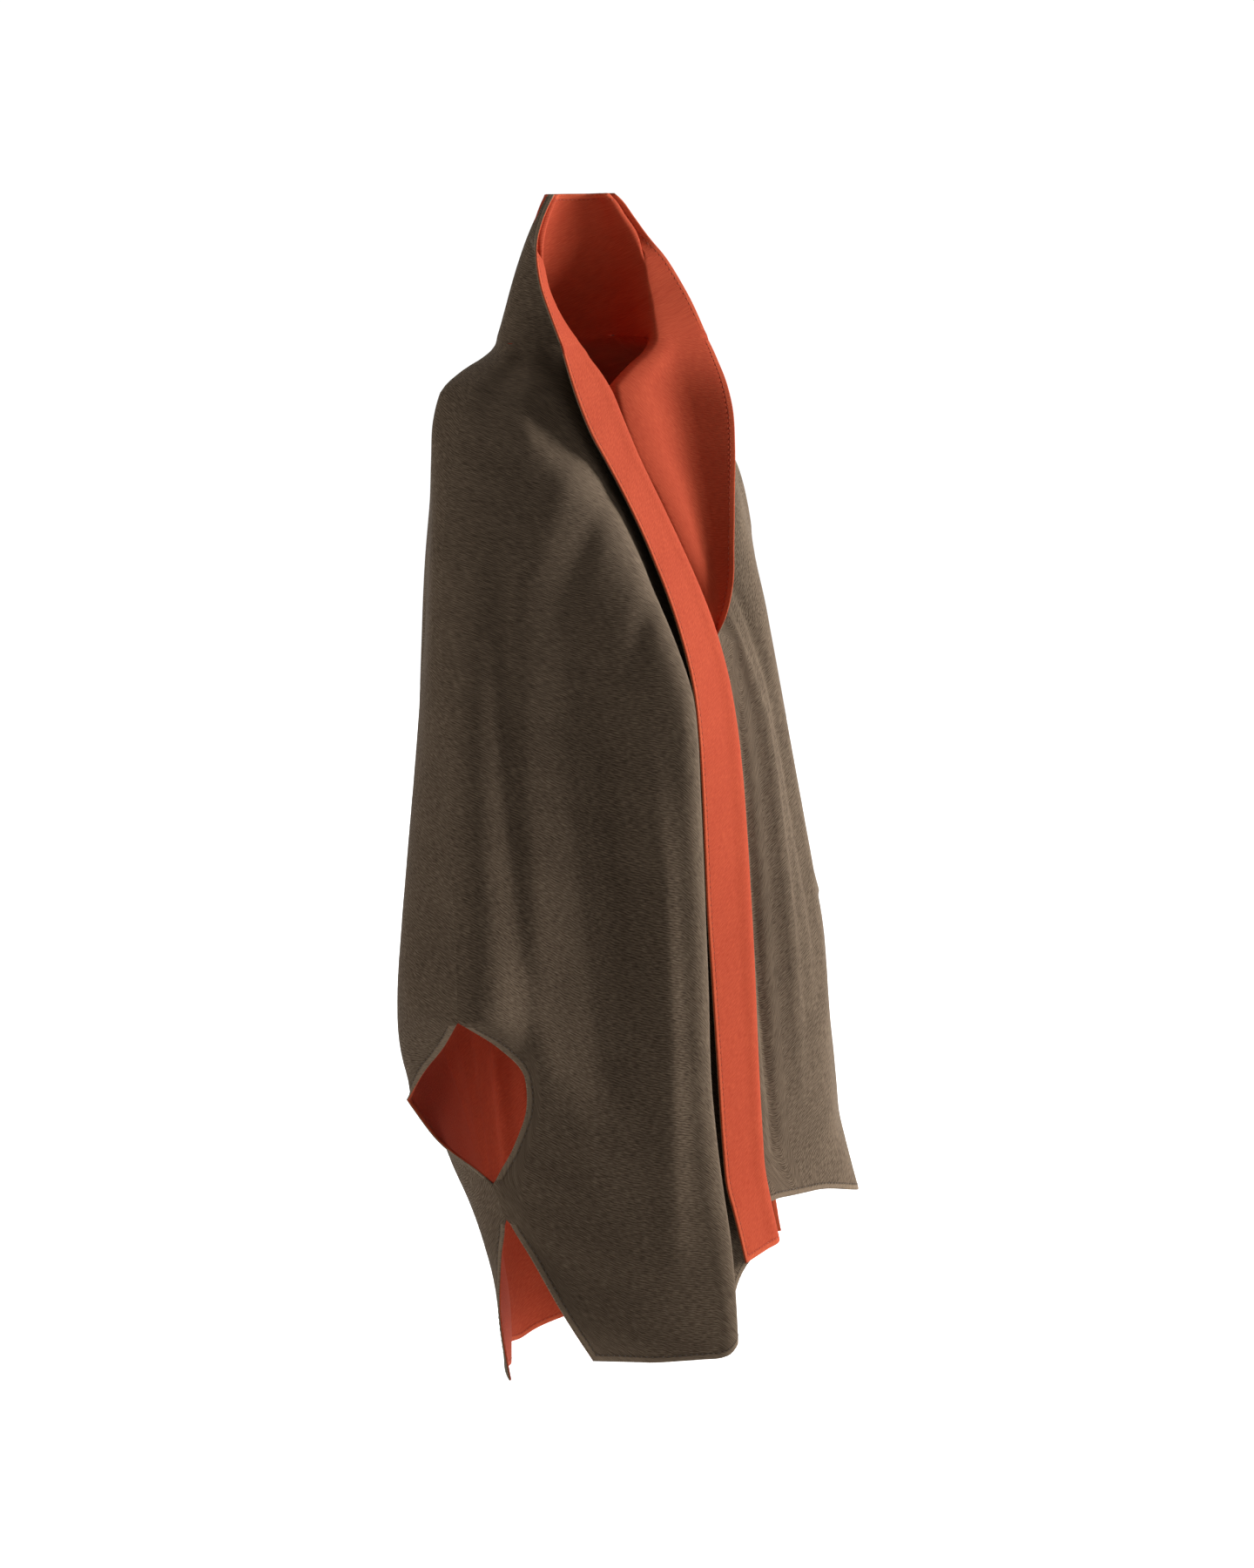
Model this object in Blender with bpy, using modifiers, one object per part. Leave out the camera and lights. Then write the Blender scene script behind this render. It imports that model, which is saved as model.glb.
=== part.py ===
"""A double-faced wool cape with turned back front edges and a standing collar.

The cape is held in the shape it has on a general figure, with nobody in it. Four pieces of cloth make it:
one back, two fronts that are each cut in one with their turned back lapel, and a collar round the neck.
Each piece is lofted through level sections of the cloth and thickened to its wall.

Metres, +Z up. The wearer faces -Y and the wearer's right is -X. The origin is the middle of the neck,
level with the seam between the collar and the body.
"""
import bpy
import bmesh
import numpy as np

MM = 0.001
WALL = 2.4                 # thickness of the double cloth
SEAM = 0.3                 # clearance between two pieces where they are sewn
ROLL = 5.0                 # radius of the middle of the cloth where a front edge turns back
PLAIN_LAPEL = 9.0          # a lapel narrower than this has unrolled into a plain edge
CURVE_STEPS = 16           # points on a curve between two of the points it goes through
PLAIN_LEAD = 36.0          # stretch of a plain edge that takes the lapel's columns
EVEN_FLAT = 1 / 3          # a lapel without a bend is divided into even strips
STANDING_WAY = np.array([-0.866, -0.5])   # forward and across the throat
JOIN_BACKING = 1.3         # the fronts and back meet at a sharp ridge under the hand opening
RIDGE_BACKING = 0.3        # and at a smooth one along the arm
NECK_BACKING = 0.45        # the collar leans in and the body slopes out from the neck seam

OPENING_TOP = 523.0        # depth of the hand opening's upper corner under the neck seam
JOIN_TOP = 668.0           # the short seam under the hand opening
JOIN_FOOT = 698.0
HEM_START = 700.0          # the hem's own slope is spread over the cloth below this
FRONT_HEM = 828.0
BACK_CORNER = 840.0

# Strips of cloth between the lines that the tables name, across each panel.
LAPEL_STRIPS = 3
ROLL_STRIPS = 4
FRONT_STRETCHES = (4, 3, 2, 5, 4, 4)   # crest to tuck, to swell, over it, to valley, to arm, to side
BACK_STRETCHES = (4, 5, 6)             # side to elbow, to blade, to centre back
COLLAR_STRETCHES = (3, 4, 5)           # crest to side, to nape, to centre back

# The long soft fold of each front is rounded off over this share of its nearer flank.
FOLD_HALF_WIDTH = 13.0
FOLD_SHARE = 0.3
FOLD_ROUNDING = 0.5

# Level sections, as depth under the neck seam. Every panel uses the same ones down to the join.
BODY_LEVELS = (0, 5, 12, 22, 38, 60, 92, 130, 170, 206, 232, 254, 280, 314, 356, 410, 468,
               OPENING_TOP, 548, 576, 604, 636, JOIN_TOP, JOIN_FOOT, 736, 784)
COLLAR_RISES = (0, 12, 28, 46, 66, 86, 104, 116, 122)

# In every table x is the distance out from the centre line and y runs to the wearer's back.
# The ridge of the arm carries the seam between front and back, down to the hand opening.
ARM_SEAM = dict(
    drop=(0, 5, 12, 22, 38, 60, 95, 135, 180, 225, 280, 340, 400, 460, 500, OPENING_TOP),
    x=(84, 87, 102, 131, 167, 184, 202, 219, 234, 246, 258, 268, 278, 288, 297, 304),
    y=(26, 25, 23, 19, 14, 11, 8, 4, -3, -10, -20, -30, -40, -50, -57, -61),
)
# Front edge of the hand opening, the join, and the front edge of the side slit.
FRONT_SIDE = dict(
    drop=(OPENING_TOP, 548, 576, 604, 636, JOIN_TOP, JOIN_FOOT, 736, 784, FRONT_HEM),
    x=(304, 275, 254, 252, 255, 258, 250, 246, 239, 230),
    y=(-61, -78, -88, -89, -79, -61, -68, -91, -115, -139),
)
# Back edge of the hand opening, the join, and the back edge of the side slit.
BACK_SIDE = dict(
    drop=(OPENING_TOP, 548, 576, 604, 636, JOIN_TOP, JOIN_FOOT, 736, 784, BACK_CORNER),
    x=(304, 296, 284, 275, 267, 258, 250, 244, 242, 241),
    y=(-61, -40, -12, 10, -14, -61, -68, -60, -57, -66),
)
# crest: where the edge turns back; free: the lapel's free edge; tuck: the panel behind that edge;
# swell: the long soft fold; valley: the hollow beside it; arm: the front of the arm.
FRONT_RIGHT = dict(
    drop=(0, 5, 12, 22, 38, 60, 95, 135, 180, 225, 280, 340, 400, 460, 523, 604, 668, 752, FRONT_HEM),
    crest_x=(68, 65, 62, 57, 51, 47, 42, 33, 22, 9, -1, -5, -4, 0, 5, 10, 15, 24, 30),
    crest_y=(-31, -34, -37, -42, -49, -57, -71, -88, -106, -120, -133, -142, -149, -156, -163, -170,
             -177, -190, -202),
    free_x=(122, 123, 124, 125, 125, 122, 114, 104, 94, 86, 79, 76, 75, 75, 77, 80, 85, 94, 102),
    free_y=(-47, -49, -52, -56, -62, -70, -86, -104, -121, -135, -147, -152, -155, -158, -164, -172,
            -180, -197, -211),
    flat=(0.333, 0.333, 0.333, 0.333, 0.333, 0.333, 0.333, 0.333, 0.333, 0.333, 0.333, 0.333, 0.333,
          0.333, 0.333, 0.333, 0.333, 0.333, 0.333),
    stand=(0, 0, 0, 0, 0, 0, 0, 0, 0, 0, 0, 0, 0, 0, 0, 0, 0, 0, 0),
    tuck_x=(72, 71, 75, 84, 98, 106, 106, 99, 91, 86, 82, 80, 79, 79, 80, 83, 87, 95, 103),
    tuck_y=(-18, -20, -24, -32, -45, -57, -73, -92, -108, -122, -133, -139, -142, -146, -152, -160,
            -168, -185, -199),
    swell_x=(76, 77, 85, 102, 128, 143, 144, 140, 134, 128, 125, 125, 125, 125, 125, 125, 126, 127,
             130),
    swell_y=(-6, -7, -12, -22, -36, -48, -74, -100, -124, -145, -165, -171, -175, -178, -181, -184,
             -192, -206, -214),
    valley_x=(79, 81, 90, 110, 142, 162, 170, 176, 182, 186, 189, 192, 195, 198, 201, 203, 203, 197,
              187),
    valley_y=(4, 4, 0, -8, -22, -34, -54, -72, -86, -94, -98, -102, -108, -112, -117, -123, -130,
              -150, -168),
    arm_x=(82, 84, 93, 114, 150, 174, 190, 205, 218, 229, 239, 248, 256, 263, 260, 243, 247, 232, 215),
    arm_y=(15, 15, 12, 6, -6, -16, -30, -42, -50, -56, -63, -70, -78, -86, -94, -97, -82, -110, -149),
)
FRONT_LEFT = dict(
    drop=(0, 5, 12, 22, 38, 60, 95, 135, 180, 225, 255, 280, 340, 400, 460, 523, 604, 668, 752,
          FRONT_HEM),
    crest_x=(68, 62, 46, 18, -18, -26, -28, -18, -8, 3, 1, -10, -32, -40, -40, -40, -38, -36, -33,
             -30),
    crest_y=(-31, -32, -33, -33, -34, -44, -60, -78, -95, -110, -120, -121, -127, -132, -138, -145,
             -152, -160, -170, -181),
    flat=(0.333, 0.36, 0.4, 0.45, 0.52, 0.52, 0.51, 0.5, 0.5, 0.5, 0.333, 0.333, 0.333, 0.333, 0.333,
          0.333, 0.333, 0.333, 0.333, 0.333),
    stand=(0, 3, 9, 20, 34, 42, 40, 30, 18, 6, 0, 0, 0, 0, 0, 0, 0, 0, 0, 0),
    free_x=(122, 123, 125, 127, 128, 125, 106, 78, 48, 18, 1, -10, -32, -40, -40, -40, -38, -36,
            -33, -30),
    free_y=(-47, -49, -52, -56, -63, -71, -84, -99, -115, -127, -120, -121, -127, -132, -138, -145,
            -152, -160, -170, -181),
    tuck_x=(72, 71, 75, 85, 100, 108, 100, 75, 56, 48, 46, 45, 42, 40, 40, 41, 42, 43, 45, 46),
    tuck_y=(-18, -20, -24, -33, -46, -56, -70, -84, -101, -114, -122, -128, -140, -148, -155, -161,
            -168, -174, -183, -191),
    swell_x=(76, 77, 85, 102, 126, 137, 126, 110, 100, 97, 97, 98, 101, 105, 109, 113, 116, 119,
             125, 131),
    swell_y=(-6, -7, -12, -22, -36, -47, -68, -90, -108, -123, -130, -135, -146, -156, -166, -175,
             -180, -184, -193, -202),
    valley_x=(79, 81, 90, 110, 141, 158, 163, 166, 170, 173, 175, 177, 182, 188, 193, 197, 200, 200,
              192, 181),
    valley_y=(4, 4, 0, -8, -21, -30, -44, -55, -65, -73, -77, -81, -91, -101, -111, -121, -129,
              -137, -152, -170),
    arm_x=(82, 84, 93, 114, 149, 172, 189, 202, 215, 226, 231, 236, 247, 255, 261, 258, 243, 247,
           232, 213),
    arm_y=(15, 15, 12, 6, -5, -10, -18, -25, -33, -41, -44, -46, -54, -63, -71, -80, -94, -82, -110,
           -150),
)
# elbow: the back of the arm; blade: the side of the back; spine: the centre back, on the centre line.
BACK = dict(
    drop=(0, 5, 12, 22, 38, 60, 95, 135, 180, 225, 280, 340, 400, 460, 523, 576, 604, 636, 668, 698,
          745, 784, BACK_CORNER),
    elbow_x=(74, 77, 94, 129, 164, 175, 184, 193, 204, 214, 230, 245, 258, 270, 280, 268, 258, 242,
             236, 230, 221, 212, 206),
    elbow_y=(40, 40, 41, 41, 41, 41, 38, 34, 30, 26, 20, 15, 13, 12, 12, 16, 14, 2, -12, -24, -34,
             -38, -40),
    blade_x=(47, 49, 57, 70, 85, 98, 110, 119, 127, 133, 139, 145, 151, 157, 162, 161, 158, 152,
             146, 140, 125, 115, 110),
    blade_y=(61, 62, 64, 67, 70, 74, 78, 81, 82, 81, 78, 75, 71, 67, 65, 63, 62, 50, 42, 35, 20, 16,
             16),
    spine_y=(75, 76, 78, 82, 89, 96, 104, 110, 114, 116, 116, 115, 113, 111, 109, 107, 105, 103,
             100, 96, 88, 80, 73),
)
COLLAR = dict(
    rise=(0, 20, 45, 68, 88, 104, 116, 122),
    free_x=(122, 121, 117, 107, 90, 74, 60, 50),
    free_y=(-47, -38, -25, -14, -5, -1, 1, 3),
    crest_x=(68, 80, 88, 89, 80, 66, 54, 45),
    crest_y=(-31, -22, -12, -5, 0, 4, 6, 8),
    side_x=(84, 81, 77, 71, 63, 53, 43, 36),
    side_y=(26, 24, 22, 19, 17, 15, 14, 14),
    nape_x=(47, 45, 42, 38, 33, 27, 22, 18),
    nape_y=(61, 55, 48, 42, 36, 31, 26, 24),
    spine_y=(75, 68, 59, 50, 43, 36, 31, 28),
)
# How far the hem is lifted along a front, from the crest (share 0) to the side slit (share 1).
HEM_LIFT_RIGHT = dict(share=(0.0, 0.20, 0.33, 0.46, 0.75, 1.0), lift=(73, 56, 20, 0, 4, 14))
HEM_LIFT_LEFT = dict(share=(0.0, 0.30, 0.60, 1.0), lift=(98, 90, 70, 50))
# How much lower the back's hem runs, from the side slit (share 0) to the centre back (share 1).
BACK_FALL = dict(share=(0.0, 0.15, 0.55, 1.0), fall=(0, 4, 38, 58))

CLOTH_COLOUR = (0.105, 0.078, 0.056, 1.0)
FACING_COLOUR = (0.42, 0.085, 0.032, 1.0)


def unit(vector):
    return np.asarray(vector, float) / np.linalg.norm(vector)


def read_table(table, column, station, key="drop"):
    """Smooth value of one column of a table at any station."""
    stations = np.asarray(table[key], float)
    values = np.asarray(table[column], float)
    steps = np.diff(stations)
    slopes = np.diff(values) / steps
    tangents = np.concatenate([slopes[:1], slopes[1:], slopes[-1:]])
    tangents[1:-1] = (slopes[:-1] * steps[1:] + slopes[1:] * steps[:-1]) / (steps[:-1] + steps[1:])
    last = len(steps) - 1
    i = int(np.clip(np.searchsorted(stations, station, side="right") - 1, 0, last))
    t = np.clip((station - stations[i]) / steps[i], 0.0, 1.0)
    return ((1 + 2 * t) * (1 - t) ** 2 * values[i] + t * (1 - t) ** 2 * steps[i] * tangents[i]
            + t * t * (3 - 2 * t) * values[i + 1] + t * t * (t - 1) * steps[i] * tangents[i + 1])


def plan_point(table, name, station, key="drop"):
    return np.array([read_table(table, name + axis, station, key) for axis in ("_x", "_y")])


def side_point(below_opening, station):
    """Edge of a panel: the arm seam, then its own edge below the hand opening's upper corner."""
    table = ARM_SEAM if station <= OPENING_TOP else below_opening
    return np.array([read_table(table, "x", station), read_table(table, "y", station)])


def smooth_curve(points, start=None, end=None):
    """Closely spaced points on a spline through the plan points, with free or given end directions."""
    points = np.asarray(points, float)
    count = len(points)
    spans = np.linalg.norm(np.diff(points, axis=0), axis=1) ** 0.6
    matrix = np.zeros((count, count))
    right_side = np.zeros((count, 2))
    for i in range(1, count - 1):
        before, after = spans[i - 1], spans[i]
        matrix[i, i - 1:i + 2] = (after, 2 * (before + after), before)
        behind, ahead = points[i] - points[i - 1], points[i + 1] - points[i]
        right_side[i] = 3 * (after * behind / before + before * ahead / after)
    for row, neighbour, span, chord, direction in (
            (0, 1, spans[0], points[1] - points[0], start),
            (count - 1, count - 2, spans[-1], points[-1] - points[-2], end)):
        matrix[row, row] = 1
        if direction is None:
            matrix[row, neighbour] = 0.5
            right_side[row] = 1.5 * chord / span
        else:
            right_side[row] = unit(direction) * np.linalg.norm(chord) / span
    tangents = np.linalg.solve(matrix, right_side)
    pieces = []
    for i in range(count - 1):
        t = np.linspace(0, 1, CURVE_STEPS, endpoint=False)[:, None]
        pieces.append((1 + 2 * t) * (1 - t) ** 2 * points[i] + t * (1 - t) ** 2 * spans[i] * tangents[i]
                      + t * t * (3 - 2 * t) * points[i + 1] + t * t * (t - 1) * spans[i] * tangents[i + 1])
    return np.vstack(pieces + [points[-1:]])


def lengths_along(line):
    return np.concatenate([[0.0], np.cumsum(np.linalg.norm(np.diff(line, axis=0), axis=1))])


def points_at(line, distances):
    along = lengths_along(line)
    return np.stack([np.interp(distances, along, line[:, axis]) for axis in range(line.shape[1])], axis=1)


def stretched_points(line_points, stretches, start=None, end=None, leave=0.0, lead=0.0):
    """Points on a smooth curve, with a set number of strips between each two points it goes through."""
    line = smooth_curve(line_points, start, end)
    along = lengths_along(line)
    marks = along[::CURVE_STEPS].copy()
    marks[0] = lead
    marks[-1] -= leave
    distances = [np.linspace(near, far, strips, endpoint=False)
                 for near, far, strips in zip(marks[:-1], marks[1:], stretches)]
    return points_at(line, np.concatenate(distances + [marks[-1:]]))


def turned_section(crest, free, body, stretches, body_end=None, leave=0.0, flat=EVEN_FLAT, stand=0.0):
    """Section of cloth from a lapel's free edge, round its roll at the crest, and on through the body.

    The share of the lapel next to the roll that lies flat ends in a bend, where the rest stands up.
    """
    heading = unit(body[0] - crest)
    outward = np.array([heading[1], -heading[0]])
    centre = crest + ROLL * heading
    opening = 0.0
    for _ in range(8):
        leaving = centre + ROLL * (np.cos(opening) * outward - np.sin(opening) * heading)
        to_free = unit(free - leaving)
        opening = float(np.clip(np.arctan2(to_free @ outward, to_free @ heading), -0.2, 0.98 * np.pi))
    turns = np.linspace(np.pi - opening, 0.0, ROLL_STRIPS + 1)[:, None]
    roll = centre - ROLL * (np.cos(turns) * outward + np.sin(turns) * heading)
    shares = np.linspace(1.0, flat, LAPEL_STRIPS)[:, None]
    lapel = roll[0] + shares * (free - roll[0])
    lapel += (shares - flat) / (1 - flat) * stand * STANDING_WAY
    cloth = stretched_points(np.vstack([roll[-1], body]), stretches, heading, body_end, leave)
    return np.vstack([lapel, roll, cloth[1:]])


def plain_section(body, body_end=None, leave=0.0):
    """Section of cloth from a plain edge, with the lapel's columns spread along its first stretch."""
    marks = np.linspace(0.0, PLAIN_LEAD, LAPEL_STRIPS + ROLL_STRIPS + 1)
    lead = points_at(smooth_curve(body, end=body_end), marks)
    rest = stretched_points(body, FRONT_STRETCHES, end=body_end, leave=leave, lead=PLAIN_LEAD)
    return np.vstack([lead[:-1], rest])


def seam_backing(station):
    """How far a panel stops short of the line where front and back are sewn."""
    if station <= OPENING_TOP:
        return SEAM / 2 + RIDGE_BACKING
    if JOIN_TOP <= station <= JOIN_FOOT:
        return SEAM / 2 + JOIN_BACKING
    return 0.0


def neck_clearance(station):
    """How far the body stays under the neck seam; the collar stays as far over it."""
    return -(SEAM / 2 + NECK_BACKING) if station == 0 else 0.0


def arm_ridge_direction(table, station):
    """Direction of the cloth across the arm seam, from front to back."""
    return plan_point(BACK, "elbow", station) - plan_point(table, "arm", station)


def soft_fold(tuck, swell, valley):
    """The two points that the cloth goes through in place of the swell's sharp one."""
    across = unit(valley - tuck)
    inward = np.array([-across[1], across[0]])
    half = min(FOLD_HALF_WIDTH, FOLD_SHARE * np.linalg.norm(swell - tuck))
    middle = swell + half * FOLD_ROUNDING * inward
    return [middle - half * across, middle + half * across]


def front_grid(table, hem_lift):
    """Sections of one front as it hangs on the wearer's left."""
    sections = []
    for station in BODY_LEVELS + (FRONT_HEM,):
        crest = plan_point(table, "crest", station)
        free = plan_point(table, "free", station)
        names = ("tuck", "swell", "valley", "arm")
        tuck, swell, valley, arm = (plan_point(table, name, station) for name in names)
        side = side_point(FRONT_SIDE, station)
        body = np.array([tuck, *soft_fold(tuck, swell, valley), valley, arm, side])
        sewn = station <= OPENING_TOP
        end = arm_ridge_direction(table, station) if sewn else None
        leave = seam_backing(station)
        if np.linalg.norm(free - crest) > PLAIN_LAPEL:
            flat, stand = (read_table(table, name, station) for name in ("flat", "stand"))
            plan = turned_section(crest, free, body, FRONT_STRETCHES, end, leave, flat, stand)
        else:
            plan = plain_section(np.vstack([free, body]), end, leave)
        across = lengths_along(plan[LAPEL_STRIPS + ROLL_STRIPS:])
        share = np.concatenate([np.zeros(LAPEL_STRIPS + ROLL_STRIPS), across / across[-1]])
        lift = np.interp(share, hem_lift["share"], hem_lift["lift"])
        blend = np.clip((station - HEM_START) / (FRONT_HEM - HEM_START), 0.0, 1.0)
        height = neck_clearance(station) - station + lift * blend
        sections.append(np.column_stack([plan, height]))
    return np.array(sections)


def mirrored(section):
    """A half section from its outer end to the centre line, and its mirror image beyond."""
    other = section[::-1][1:] * (-1.0, 1.0, 1.0)
    return np.vstack([section, other])


def back_grid():
    sections = []
    for station in BODY_LEVELS + (BACK_CORNER,):
        elbow, blade = (plan_point(BACK, name, station) for name in ("elbow", "blade"))
        spine = np.array([0.0, read_table(BACK, "spine_y", station)])
        points = [side_point(BACK_SIDE, station), elbow, blade, spine]
        start = arm_ridge_direction(FRONT_RIGHT, station) if station <= OPENING_TOP else None
        plan = stretched_points(points, BACK_STRETCHES, start, (-1, 0), lead=seam_backing(station))
        plan[-1, 0] = 0.0
        share = lengths_along(plan) / lengths_along(plan)[-1]
        blend = np.clip((station - HEM_START) / (BACK_CORNER - HEM_START), 0.0, 1.0)
        fall = np.interp(share, BACK_FALL["share"], BACK_FALL["fall"]) * blend
        height = neck_clearance(station) - station - fall
        sections.append(mirrored(np.column_stack([plan, height])))
    return np.array(sections)


def collar_grid():
    sections = []
    for rise in COLLAR_RISES:
        crest = plan_point(COLLAR, "crest", rise, "rise")
        free = plan_point(COLLAR, "free", rise, "rise")
        body = [plan_point(COLLAR, name, rise, "rise") for name in ("side", "nape")]
        body.append(np.array([0.0, read_table(COLLAR, "spine_y", rise, "rise")]))
        plan = turned_section(crest, free, np.array(body), COLLAR_STRETCHES, (-1, 0))
        plan[-1, 0] = 0.0
        height = np.full(len(plan), rise - neck_clearance(rise))
        sections.append(mirrored(np.column_stack([plan, height])))
    return np.array(sections[::-1])


def cloth_material(name, colour, roughness):
    material = bpy.data.materials.new(name)
    material.use_nodes = True
    shader = material.node_tree.nodes["Principled BSDF"]
    shader.inputs["Base Color"].default_value = colour
    shader.inputs["Roughness"].default_value = roughness
    shader.inputs["Metallic"].default_value = 0.0
    return material


def make_panel(name, grid, material, collection, flip=False):
    """One piece of cloth: a loft through its sections, thickened to the wall."""
    mesh = bpy.data.meshes.new(name)
    loft = bmesh.new()
    rows = [[loft.verts.new(point * MM) for point in section] for section in grid]
    for upper, lower in zip(rows[:-1], rows[1:]):
        for i in range(len(upper) - 1):
            corners = (upper[i], lower[i], lower[i + 1], upper[i + 1])
            loft.faces.new(corners[::-1] if flip else corners)
    bmesh.ops.triangulate(loft, faces=loft.faces[:])
    loft.to_mesh(mesh)
    loft.free()
    mesh.shade_smooth()
    mesh.materials.append(material)
    panel = bpy.data.objects.new(name, mesh)
    collection.objects.link(panel)
    wall = panel.modifiers.new("wall", "SOLIDIFY")
    wall.thickness = WALL * MM
    wall.offset = 0.0
    return panel


def build_cape():
    for old in list(bpy.data.objects):
        bpy.data.objects.remove(old, do_unlink=True)
    collection = bpy.data.collections.new("cape")
    bpy.context.scene.collection.children.link(collection)
    outer = cloth_material("taupe_cloth", CLOTH_COLOUR, 0.9)
    inner = cloth_material("rust_cloth", FACING_COLOUR, 0.9)
    mirror = np.array([-1.0, 1.0, 1.0])
    make_panel("back", back_grid(), outer, collection)
    make_panel("front_left", front_grid(FRONT_LEFT, HEM_LIFT_LEFT), outer, collection)
    right_grid = front_grid(FRONT_RIGHT, HEM_LIFT_RIGHT) * mirror
    make_panel("front_right", right_grid, outer, collection, flip=True)
    make_panel("collar", collar_grid(), inner, collection)


build_cape()
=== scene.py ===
# %% [markdown]
# # A double-faced wool cape
#
# The real cape is cut from one thick wool cloth with two good faces: a heathered taupe one that shows
# outside, and a rust one inside. Four pieces make it. The back runs over both shoulders, each front is
# cut in one with the lapel that turns back and shows the rust, and a collar stands round the neck.
#
# This lesson takes the plain solids of the model as its frame, draws the cloth again from them with a
# close net of points, and adds what a plain solid can't hold: rounded edges, soft creases, the seams,
# the hand stitching and the look of the two wools.

# %% Load the frame
import math

import bmesh
import bpy
import numpy as np
from mathutils import Matrix, Vector
from mathutils.kdtree import KDTree


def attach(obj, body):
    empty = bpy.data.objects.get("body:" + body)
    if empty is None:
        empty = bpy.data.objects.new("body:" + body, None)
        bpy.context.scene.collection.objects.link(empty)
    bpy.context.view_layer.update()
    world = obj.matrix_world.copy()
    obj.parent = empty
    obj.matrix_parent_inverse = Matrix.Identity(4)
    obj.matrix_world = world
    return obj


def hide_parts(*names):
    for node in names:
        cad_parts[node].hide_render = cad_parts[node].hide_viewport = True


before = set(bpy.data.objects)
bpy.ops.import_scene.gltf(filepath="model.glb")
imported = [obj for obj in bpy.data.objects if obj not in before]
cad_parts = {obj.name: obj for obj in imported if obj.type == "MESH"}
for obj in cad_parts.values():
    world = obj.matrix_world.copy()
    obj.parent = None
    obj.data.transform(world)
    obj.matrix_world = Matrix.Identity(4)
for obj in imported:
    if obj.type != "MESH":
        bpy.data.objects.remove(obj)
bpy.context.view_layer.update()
MM = 0.001
WALL = 2.4 * MM
TINY = 1e-12

# %% [markdown]
# ## The cloth's middle, from its solid
#
# Each solid is a wall of even thickness, so every point has a partner straight through the wall. The
# middle between the two lies on the cloth's own surface. The solid was lofted through level sections,
# so its points stand in rows. Starting from the upper edge, each next row is what the last row's points
# are joined to, and a row is walked from end to end along its own edges. That gives a tidy table of
# points, which is far easier to smooth, crease and measure than loose triangles.

# %% Points and their partners through the wall
WELD = 0.01 * MM
PARTNER_REACH = 1.02 * WALL


def welded_solid(node):
    """The node's solid, with the points of neighbouring faces joined."""
    solid = bmesh.new()
    solid.from_mesh(node.data)
    bmesh.ops.remove_doubles(solid, verts=solid.verts[:], dist=WELD)
    solid.normal_update()
    solid.verts.ensure_lookup_table()
    return solid


def wall_partners(solid):
    """The point straight through the wall from each point."""
    tree = KDTree(len(solid.verts))
    for vert in solid.verts:
        tree.insert(vert.co, vert.index)
    tree.balance()
    partners = []
    for vert in solid.verts:
        near = tree.find_range(vert.co, PARTNER_REACH)
        through = [(abs(reach - WALL), index) for _, index, reach in near if index != vert.index]
        partners.append(solid.verts[min(through)[1]])
    return partners


def outside_faces(solid, partners):
    """The faces on the outside of the cloth.

    A face of the wall's cut edge holds a point and its partner. Without those faces the solid comes
    apart into its two sides, and the outside is the one that faces away from the figure.
    """
    skin = {face for face in solid.faces if not any(partners[v.index] in face.verts[:] for v in face.verts)}
    sides = []
    while skin:
        side, edge_of_search = [], [skin.pop()]
        while edge_of_search:
            face = edge_of_search.pop()
            side.append(face)
            for edge in face.edges:
                for other in edge.link_faces:
                    if other in skin:
                        skin.remove(other)
                        edge_of_search.append(other)
        sides.append(side)

    def facing_out(side):
        total = 0.0
        for face in side:
            middle = face.calc_center_median()
            total += face.calc_area() * face.normal.dot(Vector((middle.x, middle.y, 0)).normalized())
        return total

    return max(sides, key=facing_out)


# %% Walk the rows
# Points within this drop of the solid's top make the first row.
FIRST_ROW = 1.5 * MM


def walk_row(members, neighbours, first=None):
    """The members in order from one end of their row to the other, starting beside the point first."""
    members = set(members)
    ends = [v for v in members if len(neighbours[v] & members) == 1]
    if first is None:
        start = min(ends, key=lambda v: (round(v.co.y, 4), v.co.x))
    else:
        start = next(v for v in ends if first in neighbours[v])
    row, seen = [start], {start}
    while True:
        onward = (neighbours[row[-1]] & members) - seen
        if not onward:
            return row
        row.append(onward.pop())
        seen.add(row[-1])


def cloth_table(name):
    """The middle of the cloth as rows of points from its upper edge down, and the way out at each."""
    solid = welded_solid(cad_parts[name])
    partners = wall_partners(solid)
    neighbours = {}
    for face in outside_faces(solid, partners):
        for edge in face.edges:
            a, b = edge.verts
            neighbours.setdefault(a, set()).add(b)
            neighbours.setdefault(b, set()).add(a)
    middle = {v: (v.co + partners[v.index].co) / 2 for v in neighbours}
    top = max(point.z for point in middle.values())
    row = walk_row([v for v in neighbours if middle[v].z > top - FIRST_ROW], neighbours)
    rows, seen = [], set()
    while row:
        rows.append(row)
        seen.update(row)
        below = set().union(*(neighbours[v] for v in row)) - seen
        row = walk_row(below, neighbours, rows[-1][0]) if below else None
    points = np.array([[middle[v] for v in row] for row in rows])
    outward = np.array([[v.co - middle[v] for v in row] for row in rows])
    solid.free()
    print(name, "table:", points.shape[0], "rows of", points.shape[1], "points")
    return points, outward


tables = {name: cloth_table(name) for name in ("back", "front_left", "front_right", "collar")}

# %% [markdown]
# ## A close, smooth net
#
# Wool cloth has no corners except where it is cut, so smooth curves go through the table's points,
# first across and then down. A subdivision modifier could round it as well, but it would pull the
# edges in. Curves through the points keep the size. Where a line down the cloth turns sharply, as the
# edge does at the hand opening's corner, the curve is let go straight so the corner stays.

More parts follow.
